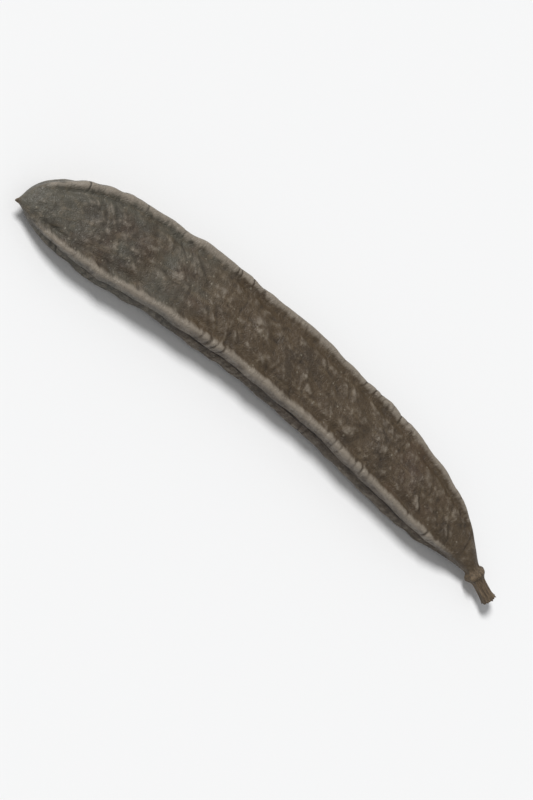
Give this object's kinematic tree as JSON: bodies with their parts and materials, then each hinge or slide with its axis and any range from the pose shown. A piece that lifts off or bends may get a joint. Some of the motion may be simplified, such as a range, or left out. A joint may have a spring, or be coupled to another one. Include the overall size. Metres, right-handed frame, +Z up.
{
  "type": "carob pod",
  "caption": "Whole dried carob pod lying flat: a bowed, flattened pod with two ribs and a grooved seam along each edge, a blunt end and a short broken stalk.",
  "frame": {"origin": "on the surface that the pod lies on, under the middle of its box", "axes": "+X along the pod from the dry point to the stalk, +Y across the broad face towards the bowed edge, +Z up, out of the broad face"},
  "size_m": [0.1346, 0.0222, 0.0092],
  "materials": {
    "pod_skin": "dried leathery skin, satin to dull, wrinkled, greyish brown with paler worn ribs"
  },
  "bodies": {
    "root": {"pod": "pod_skin"}
  },
  "joints": []
}
